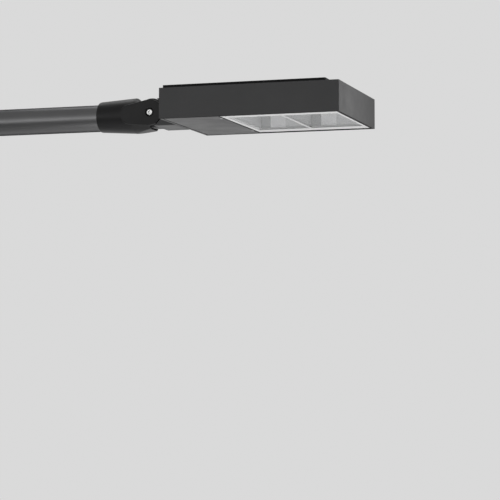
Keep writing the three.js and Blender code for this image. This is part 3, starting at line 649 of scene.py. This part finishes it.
def reflector_folds(index):
    """The long walls' folded mirror sheet, three panels on either side of the box, each in its own painted
    shade.
    """
    low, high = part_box(f"reflector_{index}")
    start, length = low.x + REFLECTOR_WALL, high.x - low.x - 2 * REFLECTOR_WALL
    foot, top = low.z + GAP, high.z - REFLECTOR_WALL
    face = high.y - REFLECTOR_WALL
    for k, shade in enumerate(FOLD_PAINTED_SHADES):
        edges = [(start + share * length, off) for share, off in FOLDS[k:k + 2]]
        bm = bmesh.new()
        for side in (-1, 1):
            fold_panel(bm, edges, side, side * face, foot, top)
        bmesh.ops.recalc_face_normals(bm, faces=bm.faces)
        name = f"reflector_fold_{index}_{k + 1}"
        new_piece(name, bm, painted_shade_coat(shade), "head", FOLD_ANGLE)


def reflector_flange(index):
    """Light plastic flange at a mirror box's foot, seen through the pane beside the frame."""
    low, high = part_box(f"reflector_{index}")
    other_low, other_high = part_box(f"reflector_{3 - index}")
    pane_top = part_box("window_glass")[1].z
    spare = (max(low.x, other_low.x) - min(high.x, other_high.x)) / 2 - GAP
    left, right = (FLANGE_REACH, spare) if low.x < other_low.x else (spare, FLANGE_REACH)
    inner = (low.x + REFLECTOR_WALL, high.x - REFLECTOR_WALL, high.y - REFLECTOR_WALL)
    outer = (low.x - left, high.x + right, high.y + FLANGE_REACH)
    bm = bmesh.new()
    rim(bm, outer, inner, pane_top + GAP, low.z - HAIR)
    new_piece(f"reflector_flange_{index}", bm, MATERIALS["light_frame"], "head")


def pane():
    """The pane's clear middle and a light fired border, laid over its own bevelled copy."""
    low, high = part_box("window_glass")
    first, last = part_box("reflector_1"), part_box("reflector_2")
    inner = (first[0].x + PANE_BORDER, last[1].x - PANE_BORDER, first[1].y - PANE_BORDER)
    bm = bmesh.new()
    box_between(bm, (inner[0], -inner[2], low.z), (inner[1], inner[2], high.z))
    glass = new_piece("window_glass_skin", bm, MATERIALS["window_glass"], "head")
    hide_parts("window_glass")
    bm = bmesh.new()
    rim(bm, (low.x, high.x, high.y), inner, low.z, high.z)
    edging = new_piece("window_glass_border", bm, MATERIALS["light_frame"], "head")
    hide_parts("window_glass")


def rim_dark_band():
    """Black band over the housing's lower rim and a black strip along the window frame's edge, in the
    rubber material.
    """
    low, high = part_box("window_frame")
    inset = 0.8 * MM
    bead = 1.2 * MM
    thick = 0.3 * MM
    bottom = HEAD_LOW.z - thick
    rim_face = HEAD_LOW.z - FILM
    step = low.z - HAIR
    x0, x1 = HEAD_LOW.x + inset, HEAD_HIGH.x - inset
    edge = HEAD_HIGH.y - inset
    bm = bmesh.new()
    for side in (-1, 1):
        frame_y, bead_y = side * high.y, side * (high.y - bead)
        box_between(bm, *sorted_corners((x0, frame_y, bottom), (x1, side * edge, rim_face)))
        box_between(bm, *sorted_corners((low.x, bead_y, bottom), (high.x - bead, frame_y, step)))
    box_between(bm, (high.x, -high.y, bottom), (x1, high.y, rim_face))
    box_between(bm, (high.x - bead, -high.y, bottom), (high.x, high.y, step))
    new_piece("rim_dark_band", bm, MATERIALS["rubber"], "head")


pane()
rim_dark_band()
for number in (1, 2):
    reflector_folds(number)
    reflector_flange(number)


# ---- Solar cells under the glass -----------------------------------------------------------------
CELL_COLUMNS = 6
CELL_ROWS = 6
CELL_MARGIN = 12 * MM # from the sheet's edge to the first cell
CELL_GAP = 2.5 * MM
CELL_CORNER = 4 * MM
CELL_FOOT = 0.45 * MM
CELL_DEPTH = 0.25 * MM # below the top of the sheet's space
SHEET_THICK = 0.4 * MM
BAR_SHARES = (0.2, 0.5, 0.8) # places of the busbars across a cell
BAR_HALF = 0.6 * MM
BAR_THICK = 0.12 * MM
SHEET_EDGE = 0.1 * MM
RIBBON_WIDTH = 2 * MM
RIBBON_BEFORE = 5 * MM # from a ribbon's outside to the first cells
RIBBON_AFTER = 3 * MM # from the last cells to a ribbon
RIBBON_INSET = 4 * MM # from the edge of its first row
RIBBON_TRIM = 10 * MM # shorter than two rows


def backing_sheet(low, high):
    """Black sheet under the cells."""
    bm = bmesh.new()
    box_between(bm, low, (high.x, high.y, low.z + SHEET_THICK))
    sheet = new_piece("solar_backsheet", bm, BACKSHEET, "head")
    add_bevel(sheet, SHEET_EDGE)
    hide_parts("solar_cells")


def add_cell(bm, x0, y0, x1, y1, foot, top):
    """Adds one cell with cut corners to a bmesh."""
    cut = CELL_CORNER
    outline = [
        (x0 + cut, y0), (x1 - cut, y0), (x1, y0 + cut), (x1, y1 - cut),
        (x1 - cut, y1), (x0 + cut, y1), (x0, y1 - cut), (x0, y0 + cut),
    ]
    base = [bm.verts.new((x, y, foot)) for x, y in outline]
    lid = [bm.verts.new((x, y, top)) for x, y in outline]
    bm.faces.new(list(reversed(base)))
    bm.faces.new(lid)
    for k in range(len(outline)):
        n = (k + 1) % len(outline)
        bm.faces.new([base[k], base[n], lid[n], lid[k]])


def cross_ribbons(bm, low, high, pitch_y, top):
    """Adds the ribbons that join two rows of cells at either end."""
    for x in (low.x + CELL_MARGIN - RIBBON_BEFORE, high.x - CELL_MARGIN + RIBBON_AFTER):
        for j in range(0, CELL_ROWS, 2):
            y0 = low.y + CELL_MARGIN + j * pitch_y + RIBBON_INSET
            y1 = min(y0 + 2 * pitch_y - RIBBON_TRIM, high.y - CELL_MARGIN)
            box_between(bm, (x, y0, top - GAP), (x + RIBBON_WIDTH, y1, top + GAP))


def solar_cells():
    """Backsheet with a grid of cells, their busbars and the cross ribbons."""
    low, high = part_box("solar_cells")
    backing_sheet(low, high)
    pitch_x = (high.x - low.x - 2 * CELL_MARGIN + CELL_GAP) / CELL_COLUMNS
    pitch_y = (high.y - low.y - 2 * CELL_MARGIN + CELL_GAP) / CELL_ROWS
    foot, top = low.z + CELL_FOOT, high.z - CELL_DEPTH
    cells, bars = bmesh.new(), bmesh.new()
    for i in range(CELL_COLUMNS):
        for j in range(CELL_ROWS):
            x0, y0 = low.x + CELL_MARGIN + i * pitch_x, low.y + CELL_MARGIN + j * pitch_y
            x1, y1 = x0 + pitch_x - CELL_GAP, y0 + pitch_y - CELL_GAP
            add_cell(cells, x0, y0, x1, y1, foot, top)
            start, end = x0 - CELL_GAP / 2, x1 + CELL_GAP / 2
            for share in BAR_SHARES:
                y = y0 + share * (y1 - y0)
                box_between(bars, (start, y - BAR_HALF, top), (end, y + BAR_HALF, top + BAR_THICK))
    cross_ribbons(bars, low, high, pitch_y, top)
    new_piece("solar_cell_grid", cells, MATERIALS["solar_cell"], "head")
    new_piece("solar_busbars", bars, RIBBON, "head")


solar_cells()


# ---- LED packages: phosphor squares under clear domes ----------------------------------------------
LED_ROWS = (0.25, 0.75) # as shares of the mirror box's length
LED_COUNT = 6 # in a row
LED_PITCH = 36 * MM
BOARD_INSET = 2 * MM # of the board's ends from the mirror box's
DIE_HALF = 2.6 * MM
DIE_THICK = 0.25 * MM
DOME_FOOT = 0.3 * MM # below the LED's body
DOME_HEIGHT = 2.6 * MM
DOME_RADIUS = 4.2 * MM
DOME_STEPS = 6
DOME_SEGMENTS = 20


def dome_profile():
    """Half an ellipse turned over, from its flat foot to its crown."""
    profile = [(-DOME_FOOT, 0), (-DOME_FOOT, DOME_RADIUS)]
    for k in range(1, DOME_STEPS):
        a = math.pi / 2 * k / DOME_STEPS
        profile.append((-DOME_FOOT - DOME_HEIGHT * math.sin(a), DOME_RADIUS * math.cos(a)))
    return profile + [(-DOME_FOOT - DOME_HEIGHT, 0)]


def led_packages(index):
    """Dies and lenses on one board; the LEDs' white bodies are the CAD's."""
    low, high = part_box(f"led_board_{index}")
    width = high.x - low.x + 2 * BOARD_INSET
    z = low.z
    dies, domes = bmesh.new(), bmesh.new()
    for row in LED_ROWS:
        for i in range(LED_COUNT):
            x = low.x - BOARD_INSET + row * width
            y = (i - (LED_COUNT - 1) / 2) * LED_PITCH
            corner = (x - DIE_HALF, y - DIE_HALF, z - DIE_THICK)
            box_between(dies, corner, (x + DIE_HALF, y + DIE_HALF, z - FILM))
            lathe(domes, dome_profile(), (x, y, z), "Z", DOME_SEGMENTS)
    new_piece(f"led_dies_{index}", dies, PHOSPHOR, "head")
    new_piece(f"led_lenses_{index}", domes, LENS, "head")


for number in (1, 2):
    led_packages(number)


# ---- Weld between the tube and the mast plate ------------------------------------------------------
WELD_REACH = 3.75 * MM
WELD_RIPPLES = 24
RIPPLE_HEIGHT = 0.35 * MM
WANDER_WAVES = 3 # slow swell of the hand-laid bead
WANDER_HEIGHT = 0.2 * MM
WELD_ROOT = 1.0 * MM # into the tube's wall
WELD_AROUND = 240
WELD_ACROSS = 6


def weld_bead():
    """Rippled fillet weld round the tube's foot."""
    plate_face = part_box("mast_plate")[1].x
    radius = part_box("arm_tube")[1].z
    root = radius - WELD_ROOT
    bm = bmesh.new()
    rings = []
    for i in range(WELD_AROUND):
        a = 2 * math.pi * i / WELD_AROUND
        ripple = RIPPLE_HEIGHT * abs(math.sin(WELD_RIPPLES * a))
        reach = WELD_REACH + ripple + WANDER_HEIGHT * math.sin(WANDER_WAVES * a)
        ring = [(plate_face - 0.2 * MM, root)]
        for k in range(WELD_ACROSS + 1):
            t = math.pi / 2 * k / WELD_ACROSS
            ring.append((plate_face + reach * math.sin(t), radius + reach * math.cos(t)))
        ring.append((plate_face + WELD_REACH, root))
        rings.append([bm.verts.new((x, r * math.cos(a), r * math.sin(a))) for x, r in ring])
    for i in range(WELD_AROUND):
        here, there = rings[i], rings[(i + 1) % WELD_AROUND]
        for k in range(len(here)):
            n = (k + 1) % len(here)
            bm.faces.new([here[k], here[n], there[n], there[k]])
    bmesh.ops.recalc_face_normals(bm, faces=bm.faces)
    new_piece("arm_weld", bm, MATERIALS["tube_paint"], "arm", WELD_ANGLE)


weld_bead()


# ---- Stage, light and camera -----------------------------------------------------------------------
BACKDROP = 0.70 # linear tone of the plain pale surroundings
FLOOR_DROP = 2.6 # floor below the lamp
FLOOR_HALF = 60
FLOOR_FADE = (-1.0, 2.0) # along Y, from the front tone to the back tone

# The camera stands this far from the middle of the head's lower edge at its arm end
CAMERA_FROM_HEAD = Vector((1.3644, -3.7650, -0.5133))
CAMERA_YAW = math.radians(17.797)
CAMERA_PITCH = math.radians(3.4205)
CAMERA_LENS = 129.98
SENSOR_WIDTH = 36
FAR_CLIP = 200

ROOM_FRONT = 0.82 # studio tones as the lamp sees them, front is -Y
ROOM_BACK = 0.34
ROOM_TOP = 0.36
FLOOR_FRONT = 0.20
FLOOR_BACK = 0.80
FRONT_FADE = (0.05, 0.5) # up the front of the room, as the direction's Z
BACK_FADE = (0.6, 0.95)
SIDE_FADE = (-0.4, 0.4) # from front to back, as the direction's Y


def ramp(nodes, links, value, span, out_low, out_high):
    """Smooth step over a span of a value, between two outputs that are numbers or sockets."""
    ranges = nodes.new("ShaderNodeMapRange")
    ranges.interpolation_type = "SMOOTHSTEP"
    ranges.inputs["From Min"].default_value, ranges.inputs["From Max"].default_value = span
    for socket, tone in (("To Min", out_low), ("To Max", out_high)):
        if isinstance(tone, float):
            ranges.inputs[socket].default_value = tone
        else:
            links.new(tone, ranges.inputs[socket])
    links.new(value, ranges.inputs["Value"])
    return ranges.outputs["Result"]


def plain_to_camera(nodes, links, tone):
    """Backdrop tone for the camera, the studio tone for light that reaches the lamp."""
    path = nodes.new("ShaderNodeLightPath")
    return ramp(nodes, links, path.outputs["Is Camera Ray"], (0.0, 1.0), tone, BACKDROP)


def make_floor():
    """Plain pale floor far below the lamp, brighter behind it."""
    bm = bmesh.new()
    bmesh.ops.create_grid(bm, x_segments=1, y_segments=1, size=FLOOR_HALF)
    mesh = bpy.data.meshes.new("floor")
    bm.to_mesh(mesh)
    bm.free()
    material = bpy.data.materials.new("floor")
    material.use_nodes = True
    nodes, links = material.node_tree.nodes, material.node_tree.links
    nodes.remove(nodes["Principled BSDF"])
    place = nodes.new("ShaderNodeTexCoord").outputs["Object"]
    split = nodes.new("ShaderNodeSeparateXYZ")
    links.new(place, split.inputs["Vector"])
    emission = nodes.new("ShaderNodeEmission")
    tone = ramp(nodes, links, split.outputs["Y"], FLOOR_FADE, FLOOR_FRONT, FLOOR_BACK)
    links.new(plain_to_camera(nodes, links, tone), emission.inputs["Strength"])
    emission.inputs["Color"].default_value = (1, 1, 1, 1)
    links.new(emission.outputs["Emission"], nodes["Material Output"].inputs["Surface"])
    mesh.materials.append(material)
    floor = bpy.data.objects.new("floor", mesh)
    floor.location = (0, 0, HEAD_LOW.z - FLOOR_DROP)
    bpy.context.scene.collection.objects.link(floor)


def make_world():
    """Even backdrop, with a soft studio gradient in what the lamp reflects."""
    world = bpy.data.worlds.new("studio")
    bpy.context.scene.world = world
    world.use_nodes = True
    nodes, links = world.node_tree.nodes, world.node_tree.links
    background = nodes["Background"]
    background.inputs["Color"].default_value = (1, 1, 1, 1)
    direction = nodes.new("ShaderNodeTexCoord").outputs["Generated"]
    split = nodes.new("ShaderNodeSeparateXYZ")
    links.new(direction, split.inputs["Vector"])
    front = ramp(nodes, links, split.outputs["Z"], FRONT_FADE, ROOM_FRONT, ROOM_TOP)
    back = ramp(nodes, links, split.outputs["Z"], BACK_FADE, ROOM_BACK, ROOM_TOP)
    tone = ramp(nodes, links, split.outputs["Y"], SIDE_FADE, front, back)
    links.new(plain_to_camera(nodes, links, tone), background.inputs["Strength"])


def softbox(name, location, target, size, tone):
    """Area light of the given linear tone that the camera doesn't see."""
    data = bpy.data.lights.new(name, "AREA")
    data.shape = "RECTANGLE"
    data.size, data.size_y = size
    data.energy = tone * math.pi * size[0] * size[1]
    light = bpy.data.objects.new(name, data)
    light.location = location
    light.rotation_euler = (Vector(target) - Vector(location)).to_track_quat("-Z", "Y").to_euler()
    light.visible_camera = False
    bpy.context.scene.collection.objects.link(light)


def make_lights():
    """Strip in front, box above and behind, box below the window, small glow past the free end."""
    softbox("front_strip", (-0.9, -3.3, -0.1), (0.25, 0, 0), (2.4, 0.8), 0.8)
    softbox("top_box", (0.3, 0.9, 1.8), (0.3, 0, 0), (2.2, 1.1), 1.8)
    softbox("low_box", (0.7, -0.8, -1.7), (0.7, 0, 0), (1.6, 1.0), 3.4)
    softbox("end_glow", (1.08, 0.27, 0.0), (0.98, -0.16, 0.0), (0.16, 0.4), 1.7)


def make_camera():
    """Long lens from below the head, on its near side."""
    data = bpy.data.cameras.new("camera")
    data.lens = CAMERA_LENS
    data.sensor_width = SENSOR_WIDTH
    data.clip_end = FAR_CLIP
    camera = bpy.data.objects.new("camera", data)
    bpy.context.scene.collection.objects.link(camera)
    camera.location = Vector((HEAD_LOW.x, 0, HEAD_LOW.z)) + CAMERA_FROM_HEAD
    camera.rotation_euler = (math.pi / 2 + CAMERA_PITCH, 0, CAMERA_YAW)
    bpy.context.scene.camera = camera


make_floor()
make_world()
make_lights()
make_camera()
bpy.context.scene.view_settings.view_transform = "Standard"
